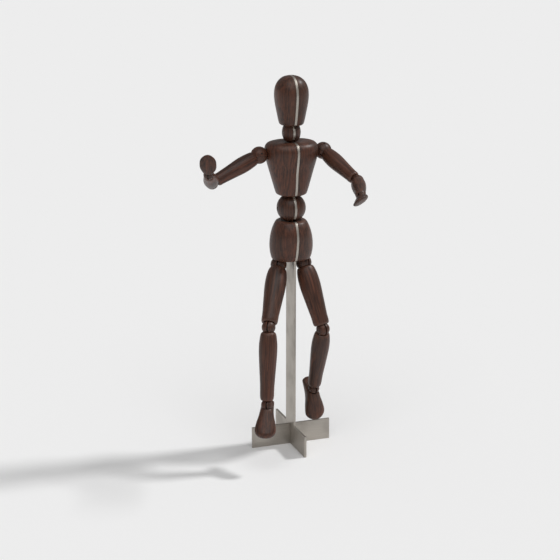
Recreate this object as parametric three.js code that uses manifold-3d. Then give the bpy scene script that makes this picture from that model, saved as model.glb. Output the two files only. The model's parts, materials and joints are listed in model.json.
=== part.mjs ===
// Jointed artist mannequin on a steel stand: a turned dark-wood figure, split down the middle by a
// 2 mm steel sheet, hung on a flat post that stands on a cross of two halved plates.
// Millimetres, +Z up, the figure faces -Y, its left side is +X. The origin is where the two base
// plates cross, on the surface they stand on.
import * as THREE from 'three';
import { mergeVertices } from 'three/addons/utils/BufferGeometryUtils.js';
import Module from 'manifold-3d';

const wasm = await Module();
wasm.setup();

// steel sheet, stand
const SHEET = 2.0;
const GAP = 0.2;
const BASE_HALF = 37.5;
const CROSS_HALF = 36.5;
const BASE_HEIGHT = 19;
const POST_HALF = 10;
const LAP = 9.5;

// pelvis, waist ball, torso
const PELVIS_BOTTOM = 171.2;
const PELVIS_TOP = 205.8;
const WAIST_Z = 216.5;
const WAIST_R = 12.6;
const WAIST_DISH_R = 13.8;
const WAIST_STEM_R = 3;
const WAIST_STEM = 13;
const TORSO_BOTTOM = 228.4;
const TORSO_TOP = 274.5;

// neck bead, head
const NECK_Z = 282.3;
const NECK_R = 8;
const NECK_CUP_R = 9.1;
const NECK_STEM_R = 2.2;
const NECK_STEM = 9;
const NECK_DISH = [[272.9, 3.8], [275.1, 9.4]];
const HEAD_BOTTOM = 289;
const HEAD_TOP = 330.5;

// joint balls: radius of the wood ball, radius of the dowel that turns in the limb before it
const BALLS = {
  shoulder: { r: 7.4, stemR: 2.2, stem: 9 },
  elbow: { r: 5.4, stemR: 1.7, stem: 7 },
  wrist: { r: 4.2, stemR: 1.4, stem: 6 },
  hip: { r: 7.0, stemR: 2.2, stem: 8 },
  knee: { r: 5.9, stemR: 1.9, stem: 8 },
  ankle: { r: 5.0, stemR: 1.7, stem: 7 },
};
const CUP_GAP = 0.5;
const TONGUE = 0.8;
const PIN_R = 0.8;
const STEEL_GAP = 0.2;

// joint centres and limb directions of the walking pose
const V = (x, y, z) => new THREE.Vector3(x, y, z);
const POSE = {
  right: {
    shoulder: V(-28.9, 0, 264.3),
    elbow: V(-73.4, -7.9, 245.3),
    wrist: V(-86.4, -40.3, 260.3),
    handTip: V(-91.5, -54.6, 276.2),
    hip: V(-11.5, 0, 166.6),
    knee: V(-33.3, -35.7, 122.8),
    ankle: V(-38.6, -45.9, 56.8),
    toe: V(-48.3, -66.2, 38.6),
  },
  left: {
    shoulder: V(28.9, 0, 264.3),
    elbow: V(43.7, -42.7, 245.4),
    wrist: V(32.3, -78.6, 240.5),
    handTip: V(23.9, -98.9, 240),
    hip: V(11.5, 0, 166.6),
    knee: V(21.2, -22.9, 111.5),
    ankle: V(22, 0.7, 48.8),
    toe: V(25.1, -7.8, 21.6),
  },
};

// turned profiles [distance from the joint before, radius]; they run to the joint after
const LIMBS = {
  upper_arm: [[4.2, 4.6], [5.4, 5.9], [10, 6.7], [18, 7.1], [30, 6.2], [40, 5.4], [44.2, 5.2], [45.2, 4.3]],
  forearm: [[3.6, 4.6], [4.8, 5.6], [10, 6.2], [17, 5.9], [27, 4.8], [33.6, 4.2], [34.8, 3.5]],
  thigh: [[3.6, 5.4], [4.8, 7.1], [10, 8.6], [20, 9.2], [34, 8.3], [48, 7.2], [55.4, 6.8], [56.6, 5.8]],
  shin: [[4.0, 5.0], [5.2, 6.3], [12, 7.6], [20, 7.9], [34, 7.2], [50, 6.2], [62.0, 5.6], [63.2, 4.7]],
};
const LIMB_SIDES = 14;
const BODY_SIDES = 20;
const BALL_SIDES = 12;
const BALL_ROWS = 8;

const WOOD = { color: 0x4b3730, roughness: 0.5, metalness: 0.0 };
const STEEL = { color: 0xa8a296, roughness: 0.35, metalness: 1.0 };

// ---------- solids ----------

function solid(geometry) {
  geometry.deleteAttribute('normal');
  geometry.deleteAttribute('uv');
  const welded = mergeVertices(geometry, 1e-5);
  return new wasm.Manifold(new wasm.Mesh({
    numProp: 3,
    vertProperties: new Float32Array(welded.attributes.position.array),
    triVerts: new Uint32Array(welded.index.array),
  }));
}

function mesh(name, body, look) {
  const got = body.getMesh();
  const geometry = new THREE.BufferGeometry();
  geometry.setAttribute('position', new THREE.BufferAttribute(got.vertProperties, 3));
  geometry.setIndex(new THREE.BufferAttribute(got.triVerts, 1));
  geometry.computeVertexNormals();
  const result = new THREE.Mesh(geometry, new THREE.MeshStandardMaterial(look));
  result.name = name;
  return result;
}

// a turned piece along +Z; rows are [height, half width, half depth]
function turned(rows, sides) {
  const profile = rows.map(([z, w]) => new THREE.Vector2(w, z));
  profile.unshift(new THREE.Vector2(0, rows[0][0]));
  profile.push(new THREE.Vector2(0, rows[rows.length - 1][0]));
  const geometry = new THREE.LatheGeometry(profile, sides);
  geometry.rotateX(Math.PI / 2);
  geometry.rotateZ(Math.PI / sides);
  const position = geometry.attributes.position;
  for (let i = 0; i < position.count; i += 1) {
    const z = position.getZ(i);
    const row = rows.find(([height]) => Math.abs(height - z) < 1e-4);
    position.setY(i, (position.getY(i) * row[2]) / row[1]);
  }
  return solid(geometry);
}

function round(rows, sides) {
  return turned(rows.map(([z, r]) => [z, r, r]), sides);
}

function ball(radius, sides, rows) {
  const geometry = new THREE.SphereGeometry(radius, sides, rows);
  geometry.rotateX(Math.PI / 2);
  return solid(geometry);
}

function rod(radius, from, to, sides) {
  return round([[from, radius], [to, radius]], sides);
}

function box(x0, x1, y0, y1, z0, z1) {
  const geometry = new THREE.BoxGeometry(x1 - x0, y1 - y0, z1 - z0);
  geometry.translate((x0 + x1) / 2, (y0 + y1) / 2, (z0 + z1) / 2);
  return solid(geometry);
}

// an outline in the Y-Z plane, as a sheet of the given thickness centred on x = 0
function sheet(outline, thickness) {
  const shape = new THREE.Shape(outline.map(([y, z]) => new THREE.Vector2(y, z)));
  const geometry = new THREE.ExtrudeGeometry(shape, { depth: thickness, bevelEnabled: false });
  geometry.translate(0, 0, -thickness / 2);
  geometry.applyMatrix4(new THREE.Matrix4().makeBasis(V(0, 1, 0), V(0, 0, 1), V(1, 0, 0)));
  return solid(geometry);
}

// axes of a piece: local Z along `along`, local X along `across`
function placed(body, origin, across, along) {
  const z = along.clone().normalize();
  const x = across.clone().addScaledVector(z, -across.dot(z)).normalize();
  const y = z.clone().cross(x);
  const m = new THREE.Matrix4().makeBasis(x, y, z).setPosition(origin);
  return body.transform(m.elements);
}

function along(from, to) {
  return to.clone().sub(from).normalize();
}

// the pin of a joint is square to the dowel and to the limb it carries
function pinAxis(stem, limb) {
  return stem.clone().cross(limb).normalize();
}

// ---------- the sheet that fills a slotted waist ball or neck bead ----------

const DISC_LOW = 45;
const SLOT_LOW = 68;
const ARC_STEPS = 14;

function arc(radius, from, to, z0, steps) {
  const points = [];
  for (let i = 0; i <= steps; i += 1) {
    const angle = THREE.MathUtils.degToRad(from + ((to - from) * i) / steps);
    points.push([radius * Math.cos(angle), z0 + radius * Math.sin(angle)]);
  }
  return points;
}

// full radius over the top, smaller below so that it clears the bridge of the ball
function disc(outer, inner, low, z0, thickness) {
  const top = arc(outer, -low, 180 + low, z0, ARC_STEPS);
  const bottom = arc(inner, 180 + low, 360 - low, z0, 6);
  return sheet(top.concat(bottom), thickness);
}

function slottedBall(radius, bridge, stemR, stem, z0, body) {
  const slot = disc(radius + 3, radius - bridge, SLOT_LOW, z0, SHEET + 2 * GAP);
  const pinHole = rod(PIN_R * 1.5 + STEEL_GAP, -radius - 1, radius + 1, 8).rotate([0, 90, 0]);
  const dowel = rod(stemR, z0 - radius - stem + bridge, z0 - radius + bridge * 0.6, 10);
  return body.add(dowel).subtract(slot).subtract(pinHole.translate([0, 0, z0]));
}

function waistBall() {
  const body = ball(WAIST_R, BODY_SIDES, 14).translate([0, 0, WAIST_Z]);
  return slottedBall(WAIST_R, 3.8, WAIST_STEM_R, WAIST_STEM, WAIST_Z, body);
}

function neckBead() {
  const rows = [[-8.6, 3.4], [-7.2, 5.6], [-4, 7.4], [0, NECK_R], [4, 7.4], [7.2, 5.6], [8.6, 3.4]];
  const body = round(rows, 20).translate([0, 0, NECK_Z]);
  return slottedBall(NECK_R, 3.2, NECK_STEM_R, NECK_STEM, NECK_Z, body);
}

function pinAcross(length, z0) {
  return rod(PIN_R * 1.5, -length, length, 8).rotate([0, 90, 0]).translate([0, 0, z0]);
}

// ---------- trunk pieces ----------

const PELVIS_ROWS = [
  [PELVIS_BOTTOM, 15.8, 11.8], [PELVIS_BOTTOM + 0.9, 17.0, 12.8], [178, 18.6, 15.2],
  [185, 18.9, 16.8], [193, 17.8, 17.7], [200, 15.7, 16.0], [204.7, 13.4, 13.2],
  [PELVIS_TOP, 12.0, 11.6],
];
const TORSO_ROWS = [
  [TORSO_BOTTOM, 11.2, 10.6], [TORSO_BOTTOM + 1.1, 13.0, 12.2], [233, 14.3, 13.4], [238, 15.8, 14.2],
  [250, 19.4, 15.4], [260, 22.1, 18.0], [267, 23.1, 19.0], [271, 22.6, 17.8],
  [273.4, 20.6, 15.6], [TORSO_TOP, 17.4, 12.6],
];
const HEAD_ROWS = [
  [HEAD_BOTTOM, 9.2, 9.6], [HEAD_BOTTOM + 0.9, 10.2, 10.7], [299, 12.3, 13.2], [308, 14.0, 14.8],
  [315, 14.5, 15.5], [321, 13.7, 14.4], [326, 11.1, 11.6], [329.2, 7.2, 7.6], [HEAD_TOP, 3.0, 3.2],
];
const PROUD = 0.2;

// outline of a trunk piece on the middle plane, a little proud of the wood
function middleOutline(rows) {
  const back = rows.map(([z, , d]) => [d + PROUD, z]);
  const front = rows.map(([z, , d]) => [-d - PROUD, z]).reverse();
  return back.concat(front);
}

function cup(radius, z0) {
  return ball(radius + CUP_GAP, BODY_SIDES, 14).translate([0, 0, z0]);
}

function halves(rows, cutters) {
  const whole = cutters.reduce((body, cutter) => body.subtract(cutter), turned(rows, BODY_SIDES));
  const edge = SHEET / 2 + GAP;
  return [
    whole.intersect(box(-60, -edge, -60, 60, 100, 400)),
    whole.intersect(box(edge, 60, -60, 60, 100, 400)),
  ];
}

function bore(stemR, from, to) {
  return rod(stemR + STEEL_GAP, from, to, 10);
}

function sideBore(side) {
  const spec = BALLS.shoulder;
  const start = POSE[side].shoulder;
  const inward = V(-Math.sign(start.x), 0, 0);
  const socket = ball(spec.r + CUP_GAP, BALL_SIDES, BALL_ROWS).translate(start.toArray());
  const hole = placed(bore(spec.stemR, 0, spec.r + spec.stem), start, V(0, 1, 0), inward);
  return socket.add(hole);
}

function hipBore(side) {
  const spec = BALLS.hip;
  const start = POSE[side].hip;
  const socket = ball(spec.r + CUP_GAP, BALL_SIDES, BALL_ROWS).translate(start.toArray());
  const hole = placed(bore(spec.stemR, 0, spec.r + spec.stem), start, V(0, 1, 0), V(0, 0, 1));
  return socket.add(hole);
}

function pelvis() {
  const waist = cup(WAIST_DISH_R, WAIST_Z);
  const dowel = bore(WAIST_STEM_R, WAIST_Z - WAIST_R - WAIST_STEM + 3, WAIST_Z);
  return halves(PELVIS_ROWS, [waist, dowel, hipBore('left'), hipBore('right')]);
}

function neckDish() {
  return round(NECK_DISH, BODY_SIDES);
}

function torso() {
  const waist = cup(WAIST_R, WAIST_Z);
  const dowel = bore(NECK_STEM_R, NECK_Z - NECK_R - NECK_STEM + 2, NECK_Z);
  return halves(TORSO_ROWS, [waist, neckDish(), dowel, sideBore('left'), sideBore('right')]);
}

function head() {
  return halves(HEAD_ROWS, [cup(NECK_CUP_R, NECK_Z)]);
}

// ---------- steel sheets ----------

function spinePlate() {
  const post = sheet([[-POST_HALF, LAP], [POST_HALF, LAP], [POST_HALF, 175], [-POST_HALF, 175]], SHEET);
  const foot = sheet([
    [-BASE_HALF, 0], [BASE_HALF, 0], [BASE_HALF, BASE_HEIGHT], [-BASE_HALF, BASE_HEIGHT],
  ], SHEET);
  const lap = box(-5, 5, -SHEET / 2 - GAP, SHEET / 2 + GAP, -1, LAP + GAP);
  const insert = sheet(middleOutline(PELVIS_ROWS), SHEET);
  const notch = box(-5, 5, -WAIST_STEM_R - 0.4, WAIST_STEM_R + 0.4,
    WAIST_Z - WAIST_R - WAIST_STEM + 3, WAIST_Z);
  return foot.add(post).subtract(lap).add(insert.subtract(cup(WAIST_DISH_R, WAIST_Z)).subtract(notch));
}

function basePlate() {
  const plate = box(-CROSS_HALF, CROSS_HALF, -SHEET / 2, SHEET / 2, 0, BASE_HEIGHT);
  return plate.subtract(box(-SHEET / 2 - GAP, SHEET / 2 + GAP, -5, 5, LAP, BASE_HEIGHT + 5));
}

function torsoPlate() {
  const neckNotch = box(-5, 5, -NECK_STEM_R - 0.4, NECK_STEM_R + 0.4,
    NECK_Z - NECK_R - NECK_STEM + 2, NECK_Z);
  return sheet(middleOutline(TORSO_ROWS), SHEET)
    .subtract(neckDish())
    .subtract(neckNotch)
    .add(disc(WAIST_R, WAIST_R - 4.2, DISC_LOW, WAIST_Z, SHEET))
    .add(pinAcross(WAIST_R - 0.8, WAIST_Z));
}

function headPlate() {
  return sheet(middleOutline(HEAD_ROWS), SHEET)
    .add(disc(NECK_R, NECK_R - 3.6, DISC_LOW, NECK_Z, SHEET))
    .add(pinAcross(NECK_R - 0.6, NECK_Z));
}

// ---------- joint balls and their steel tongues ----------

// local frame: Z along the dowel, X along the pin, the slot open away from the dowel
function jointBall(spec) {
  const eye = spec.r * 0.62;
  const slotHalf = TONGUE / 2 + STEEL_GAP;
  const slot = box(-slotHalf, slotHalf, -spec.r - 1, spec.r + 1, -spec.r - 1, eye + 0.4);
  const hole = rod(PIN_R + STEEL_GAP, -spec.r - 1, spec.r + 1, 8).rotate([0, 90, 0]);
  const dowel = rod(spec.stemR, spec.r * 0.8, spec.r + spec.stem - 0.6, 8);
  return ball(spec.r, BALL_SIDES, BALL_ROWS).add(dowel).subtract(slot).subtract(hole);
}

// local frame: Z along the limb, X along the pin
function jointTongue(spec, depth) {
  const eye = rod(spec.r * 0.62, -TONGUE / 2, TONGUE / 2, 12).rotate([0, 90, 0]);
  const half = spec.r * 0.36;
  const blade = box(-TONGUE / 2, TONGUE / 2, -half, half, 0, depth);
  const pin = rod(PIN_R, -spec.r + 0.7, spec.r - 0.7, 8).rotate([0, 90, 0]);
  return eye.add(blade).add(pin);
}

function tongueSlot(spec, depth) {
  const half = spec.r * 0.36 + GAP;
  return box(-TONGUE / 2 - GAP, TONGUE / 2 + GAP, -half, half, 0, depth + GAP);
}

// the ankle's tongue leans from the toe towards the sole
const FOOT_LEAN = 40;
const TONGUE_DEPTH = { shoulder: 13, elbow: 10, wrist: 9, hip: 14, knee: 13, ankle: 9 };

function socketCut(spec) {
  return ball(spec.r + CUP_GAP, BALL_SIDES, BALL_ROWS);
}

function limb(kind, near, far, length) {
  const before = BALLS[near];
  const after = BALLS[far];
  const nearCut = socketCut(before).add(tongueSlot(before, TONGUE_DEPTH[near]));
  const farCut = socketCut(after).add(bore(after.stemR, -after.r - after.stem, 0));
  const rows = LIMBS[kind];
  const stretch = length - (rows[rows.length - 1][0] + rows[0][0]);
  const middle = Math.ceil(rows.length / 2);
  const fitted = rows.map(([z, r], i) => [i >= middle ? z + stretch : z, r]);
  return round(fitted, LIMB_SIDES).subtract(nearCut).subtract(farCut.translate([0, 0, length]));
}

// ---------- hands and feet ----------

// an outline across a piece cut by an outline down its side; local Z runs to the tip
function carved(plan, side, width, depth) {
  const planShape = new THREE.Shape(plan.map(([x, z]) => new THREE.Vector2(x, z)));
  const planGeometry = new THREE.ExtrudeGeometry(planShape, { depth, bevelEnabled: false });
  planGeometry.translate(0, 0, -depth / 2);
  planGeometry.rotateX(Math.PI / 2);
  return solid(planGeometry).intersect(sheet(side, width));
}

const HAND_PLAN = [
  [3.6, 3.2], [5.0, 5.5], [6.5, 9], [6.9, 13], [6.3, 17], [4.6, 20.2], [1.8, 22.2],
  [-1.8, 22.2], [-4.6, 20.2], [-6.3, 17], [-6.9, 13], [-6.5, 9], [-5.0, 5.5], [-3.6, 3.2],
];
const HAND_SIDE = [
  [3.4, 3.2], [3.4, 7], [3.3, 13], [3.8, 17], [4.6, 20.6], [4.8, 22.6], [3.4, 22.8],
  [0.8, 19], [-1.8, 14], [-3.3, 8], [-3.4, 3.2],
];
const FOOT_PLAN = [
  [3.4, -10.6], [4.9, -9], [5.4, -4], [5.6, 0], [6.0, 4.4], [6.8, 9], [8.1, 14], [9.0, 19], [8.9, 23],
  [7.2, 26], [4.8, 27.8], [1.6, 28.6], [-1.6, 28.6], [-4.8, 27.8], [-7.2, 26], [-8.9, 23], [-9.0, 19],
  [-8.1, 14], [-6.8, 9], [-6.0, 4.4], [-5.6, 0], [-5.4, -4], [-4.9, -9], [-3.4, -10.6],
];
const FOOT_SIDE = [
  [-10.6, -8], [-11, -4], [-11, 20], [-10.7, 24], [-9.7, 27], [-8.0, 28.6], [-5.8, 28.4], [-3.8, 26],
  [-2.2, 20], [-0.8, 14], [0.4, 9], [1.2, 4.4], [-2.6, -2.5], [-5.4, -6.5], [-6.4, -9.4], [-8, -10.6],
  [-10.0, -10.2],
];

function hand() {
  const spec = BALLS.wrist;
  const cut = socketCut(spec).add(tongueSlot(spec, TONGUE_DEPTH.wrist));
  return carved(HAND_PLAN, HAND_SIDE, 20, 20).subtract(cut);
}

function foot() {
  const spec = BALLS.ankle;
  const slot = tongueSlot(spec, TONGUE_DEPTH.ankle).rotate([FOOT_LEAN, 0, 0]);
  return carved(FOOT_PLAN, FOOT_SIDE, 30, 50).subtract(socketCut(spec)).subtract(slot);
}

// ---------- assembly ----------

const group = new THREE.Group();
group.name = 'artist_mannequin';

function wood(name, body) {
  group.add(mesh(name, body, WOOD));
}

function steel(name, body) {
  group.add(mesh(name, body, STEEL));
}

function addTrunk() {
  steel('spine_plate', spinePlate());
  steel('base_cross_plate', basePlate());
  const [pelvisRight, pelvisLeft] = pelvis();
  wood('pelvis_left_half', pelvisLeft);
  wood('pelvis_right_half', pelvisRight);
  wood('waist_ball', waistBall());
  const [torsoRight, torsoLeft] = torso();
  wood('torso_left_half', torsoLeft);
  wood('torso_right_half', torsoRight);
  steel('torso_plate', torsoPlate());
  wood('neck_bead', neckBead());
  const [headRight, headLeft] = head();
  wood('head_left_half', headLeft);
  wood('head_right_half', headRight);
  steel('head_plate', headPlate());
}

// one joint: its ball rides on the dowel, its tongue is fixed in the limb after it
function addJoint(side, name, centre, dowel, next, lean = 0) {
  const spec = BALLS[name];
  const pin = pinAxis(dowel, next);
  const tongue = jointTongue(spec, TONGUE_DEPTH[name]).rotate([lean, 0, 0]);
  wood(`${side}_${name}_ball`, placed(jointBall(spec), centre, pin, dowel));
  steel(`${side}_${name}_tongue`, placed(tongue, centre, pin, next));
  return pin;
}

function addSegment(side, kind, near, far, dowel) {
  const start = POSE[side][near];
  const end = POSE[side][far];
  const line = along(start, end);
  const pin = addJoint(side, near, start, dowel, line);
  wood(`${side}_${kind}`, placed(limb(kind, near, far, start.distanceTo(end)), start, pin, line));
  return line.negate();
}

function addArm(side) {
  const pose = POSE[side];
  const inward = V(-Math.sign(pose.shoulder.x), 0, 0);
  const upper = addSegment(side, 'upper_arm', 'shoulder', 'elbow', inward);
  const fore = addSegment(side, 'forearm', 'elbow', 'wrist', upper);
  const line = along(pose.wrist, pose.handTip);
  const pin = addJoint(side, 'wrist', pose.wrist, fore, line);
  wood(`${side}_hand`, placed(hand(), pose.wrist, pin, line));
}

function addLeg(side) {
  const pose = POSE[side];
  const thigh = addSegment(side, 'thigh', 'hip', 'knee', V(0, 0, 1));
  const shin = addSegment(side, 'shin', 'knee', 'ankle', thigh);
  const line = along(pose.ankle, pose.toe);
  const pin = addJoint(side, 'ankle', pose.ankle, shin, line, FOOT_LEAN);
  wood(`${side}_foot`, placed(foot(), pose.ankle, pin, line));
}

addTrunk();
for (const side of ['left', 'right']) {
  addArm(side);
  addLeg(side);
}

export default group;
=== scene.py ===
import json
import math

import bmesh
import bpy
import numpy as np
from mathutils import Matrix, Vector


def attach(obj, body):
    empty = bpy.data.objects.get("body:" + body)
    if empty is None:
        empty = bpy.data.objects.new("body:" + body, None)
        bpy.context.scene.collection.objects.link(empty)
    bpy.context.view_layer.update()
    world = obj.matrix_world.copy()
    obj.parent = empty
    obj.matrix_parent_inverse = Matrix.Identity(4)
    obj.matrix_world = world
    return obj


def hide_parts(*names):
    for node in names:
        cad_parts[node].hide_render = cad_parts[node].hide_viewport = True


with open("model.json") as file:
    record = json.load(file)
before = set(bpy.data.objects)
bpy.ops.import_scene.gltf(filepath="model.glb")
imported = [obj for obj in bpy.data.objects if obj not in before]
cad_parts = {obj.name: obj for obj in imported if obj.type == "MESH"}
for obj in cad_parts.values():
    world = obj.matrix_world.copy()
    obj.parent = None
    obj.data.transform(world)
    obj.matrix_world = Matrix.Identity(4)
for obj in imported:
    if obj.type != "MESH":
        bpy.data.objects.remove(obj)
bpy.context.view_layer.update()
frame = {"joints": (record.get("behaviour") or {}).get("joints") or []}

MM = 0.001
SHEET = 2.0
CROSS_HALF = 36.5
BASE_HALF = 37.5
BASE_HEIGHT = 19.0
LAP_HEIGHT = 9.5
LAP_PLAY = 0.1
BROKEN_EDGE = 0.18


def node(tree, kind, **settings):
    made = tree.nodes.new(kind)
    for name, value in settings.items():
        if name in made.inputs:
            made.inputs[name].default_value = value
        else:
            setattr(made, name, value)
    return made


def wire(tree, source, target):
    tree.links.new(source, target)


def ramp(tree, factor, stops):
    made = tree.nodes.new("ShaderNodeValToRGB")
    elements = made.color_ramp.elements
    while len(elements) < len(stops):
        elements.new(0.5)
    for element, (place, colour) in zip(elements, stops):
        element.position = place
        element.color = (*colour, 1.0)
    wire(tree, factor, made.inputs["Fac"])
    return made.outputs["Color"]


def blend_colour(tree, factor, first, second, how="MIX"):
    made = tree.nodes.new("ShaderNodeMix")
    made.data_type = "RGBA"
    made.blend_type = how
    colour_sockets = made.inputs[6], made.inputs[7]
    for socket, value in zip((made.inputs["Factor"], *colour_sockets), (factor, first, second)):
        if isinstance(value, bpy.types.NodeSocket):
            wire(tree, value, socket)
        elif isinstance(value, tuple):
            socket.default_value = (*value, 1.0)
        else:
            socket.default_value = value
    return made.outputs[2]


def spread(tree, value, low, high, to_low, to_high):
    made = node(tree, "ShaderNodeMapRange", interpolation_type="SMOOTHSTEP")
    for name, number in (("From Min", low), ("From Max", high), ("To Min", to_low), ("To Max", to_high)):
        made.inputs[name].default_value = number
    wire(tree, value, made.inputs["Value"])
    return made.outputs["Result"]


def stretched(tree, source, scale):
    made = node(tree, "ShaderNodeMapping")
    made.inputs["Scale"].default_value = scale
    wire(tree, source, made.inputs["Vector"])
    return made.outputs["Vector"]


def cloud(tree, vector, scale, detail=4.0, roughness=0.55, distortion=0.0):
    made = node(tree, "ShaderNodeTexNoise", Scale=scale, Detail=detail, Roughness=roughness)
    made.inputs["Distortion"].default_value = distortion
    wire(tree, vector, made.inputs["Vector"])
    return made.outputs["Fac"]


def sheet_steel():
    """Brushed stainless sheet: fine parallel scratches, soft smudges, a few deeper marks."""
    material = bpy.data.materials.new("brushed_sheet_steel")
    material.use_nodes = True
    tree = material.node_tree
    shader = tree.nodes["Principled BSDF"]
    shader.inputs["Metallic"].default_value = 1.0
    shader.inputs["Anisotropic"].default_value = 0.35
    along = node(tree, "ShaderNodeAttribute", attribute_name="grain").outputs["Vector"]
    scratches = cloud(tree, stretched(tree, along, (1.0, 1.0, 0.012)), 5200.0, 3.0, 0.7)
    marks = cloud(tree, stretched(tree, along, (1.0, 1.0, 0.03)), 900.0, 2.0, 0.6)
    smudge = cloud(tree, along, 55.0, 3.0, 0.5)
    base = ramp(tree, scratches, ((0.3, (0.39, 0.36, 0.322)), (0.7, (0.53, 0.492, 0.445))))
    dulled = blend_colour(tree, spread(tree, smudge, 0.45, 0.7, 0.0, 0.35), base, (0.30, 0.272, 0.24))
    wire(tree, dulled, shader.inputs["Base Color"])
    rough = node(tree, "ShaderNodeMath", operation="ADD")
    wire(tree, spread(tree, smudge, 0.35, 0.7, 0.44, 0.54), rough.inputs[0])
    wire(tree, spread(tree, scratches, 0.3, 0.7, -0.04, 0.06), rough.inputs[1])
    wire(tree, rough.outputs[0], shader.inputs["Roughness"])
    depth = node(tree, "ShaderNodeMath", operation="ADD")
    wire(tree, scratches, depth.inputs[0])
    wire(tree, spread(tree, marks, 0.6, 0.75, 0.0, -0.6), depth.inputs[1])
    bump = node(tree, "ShaderNodeBump", Strength=0.22, Distance=0.00004)
    wire(tree, depth.outputs[0], bump.inputs["Height"])
    wire(tree, bump.outputs["Normal"], shader.inputs["Normal"])
    return material


STEEL = sheet_steel()


def keep_grain(mesh, offset, turn=None):
    """Stores where each point lies in its piece, with the grain along Z, for the material."""
    points = np.empty(len(mesh.vertices) * 3, dtype=np.float32)
    mesh.vertices.foreach_get("co", points)
    points = points.reshape(-1, 3)
    if turn is not None:
        points = points @ np.array(turn, dtype=np.float32).T
    points = points + np.array(offset, dtype=np.float32)
    layer = mesh.attributes.new("grain", "FLOAT_VECTOR", "POINT")
    layer.data.foreach_set("vector", points.ravel())


def finish_piece(mesh, name, material, body, replaced, sharp=38.0):
    """Puts a finished mesh in the scene as one piece of the figure."""
    mesh.materials.clear()
    mesh.materials.append(material)
    for face in mesh.polygons:
        face.use_smooth = True
        face.material_index = 0
    mesh.set_sharp_from_angle(angle=math.radians(sharp))
    piece = bpy.data.objects.new(name, mesh)
    bpy.context.scene.collection.objects.link(piece)
    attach(piece, body)
    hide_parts(*replaced)
    return piece


def cut_sheet(outline):
    """A sheet in the Y-Z plane from an outline in millimetres, its edges broken all round."""
    mesh = bpy.data.meshes.new("sheet")
    form = bmesh.new()
    ring = [form.verts.new((-SHEET / 2 * MM, y * MM, z * MM)) for y, z in outline]
    face = form.faces.new(ring)
    pushed = bmesh.ops.extrude_face_region(form, geom=[face])
    moved = [v for v in pushed["geom"] if isinstance(v, bmesh.types.BMVert)]
    bmesh.ops.translate(form, verts=moved, vec=(SHEET * MM, 0, 0))
    bmesh.ops.recalc_face_normals(form, faces=form.faces)
    rims = [e for e in form.edges if abs((e.verts[0].co - e.verts[1].co).x) < 1e-7]
    bmesh.ops.bevel(form, geom=rims, offset=BROKEN_EDGE * MM, segments=2, profile=0.6, affect="EDGES")
    bmesh.ops.triangulate(form, faces=[f for f in form.faces if len(f.verts) > 4])
    form.to_mesh(mesh)
    form.free()
    return mesh


lap_half = SHEET / 2 + LAP_PLAY
cross_outline = [
    (-CROSS_HALF, 0), (CROSS_HALF, 0), (CROSS_HALF, BASE_HEIGHT), (lap_half, BASE_HEIGHT),
    (lap_half, LAP_HEIGHT), (-lap_half, LAP_HEIGHT), (-lap_half, BASE_HEIGHT), (-CROSS_HALF, BASE_HEIGHT),
]
cross_mesh = cut_sheet(cross_outline)
keep_grain(cross_mesh, (0.31, 0.02, 0.4), ((1, 0, 0), (0, 0, 1), (0, 1, 0)))
cross_mesh.transform(Matrix.Rotation(-math.pi / 2, 4, "Z"))
finish_piece(
    cross_mesh, "base_cross_strip", STEEL, "stand_and_pelvis", ["base_cross_plate"])

# ---- Spine: foot plate, post and the sheet inside the pelvis ------------------------------------
# One laser-cut piece of the same 2 mm sheet. The foot plate is slotted from below for the lap, the
# post stands on its middle, and the top follows the pelvis, its edge flush with the wood.
POST_HALF = 10.0
PELVIS_LOW, PELVIS_HIGH = 171.2, 205.8
PELVIS_PROFILE = [
    # height, half width, half depth
    (171.2, 15.8, 11.8), (172.1, 17.0, 12.8), (178.0, 18.6, 15.2), (185.0, 18.9, 16.8),
    (193.0, 17.8, 17.7), (200.0, 15.7, 16.0), (204.7, 13.4, 13.2), (205.8, 12.0, 11.6),
]
WAIST_Z = 216.5
WAIST_R = 12.6
WAIST_DISH = 14.15
STRIP_PROUD = 0.08


def smooth_rows(rows, steps):
    """Rows of numbers joined by a smooth curve through each of them."""
    points = np.array(rows, dtype=float)
    gaps = np.linalg.norm(np.diff(points[:, :2], axis=0), axis=1)
    chord = np.concatenate([[0], np.cumsum(np.sqrt(gaps))])
    padded = np.vstack([2 * points[0] - points[1], points, 2 * points[-1] - points[-2]])
    knots = np.concatenate([[2 * chord[0] - chord[1]], chord, [2 * chord[-1] - chord[-2]]])
    result = []
    for i in range(len(points) - 1):
        p0, p1, p2, p3 = padded[i:i + 4]
        t0, t1, t2, t3 = knots[i:i + 4]
        for k in range(steps):
            t = t1 + (t2 - t1) * k / steps
            a1 = (t1 - t) / (t1 - t0) * p0 + (t - t0) / (t1 - t0) * p1
            a2 = (t2 - t) / (t2 - t1) * p1 + (t - t1) / (t2 - t1) * p2
            a3 = (t3 - t) / (t3 - t2) * p2 + (t - t2) / (t3 - t2) * p3
            b1 = (t2 - t) / (t2 - t0) * a1 + (t - t0) / (t2 - t0) * a2
            b2 = (t3 - t) / (t3 - t1) * a2 + (t - t1) / (t3 - t1) * a3
            result.append((t2 - t) / (t2 - t1) * b1 + (t - t1) / (t2 - t1) * b2)
    result.append(points[-1])
    return result


def cup_edge(radius, centre_z, half_width):
    """The round notch that a ball above leaves in a sheet, as outline points from back to front."""
    reach = math.asin(min(1.0, half_width / radius))
    points = []
    for i in range(17):
        angle = reach - 2 * reach * i / 16
        points.append((radius * math.sin(angle), centre_z - radius * math.cos(angle)))
    return points


def flank(profile, low, high):
    """Outline of a trunk piece on the middle plane: the back edge from low to high."""
    rows = [r for r in smooth_rows([(z, d, d) for z, _, d in profile], 5) if low <= r[0] <= high]
    return [(r[1] + STRIP_PROUD, r[0]) for r in rows]


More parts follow.
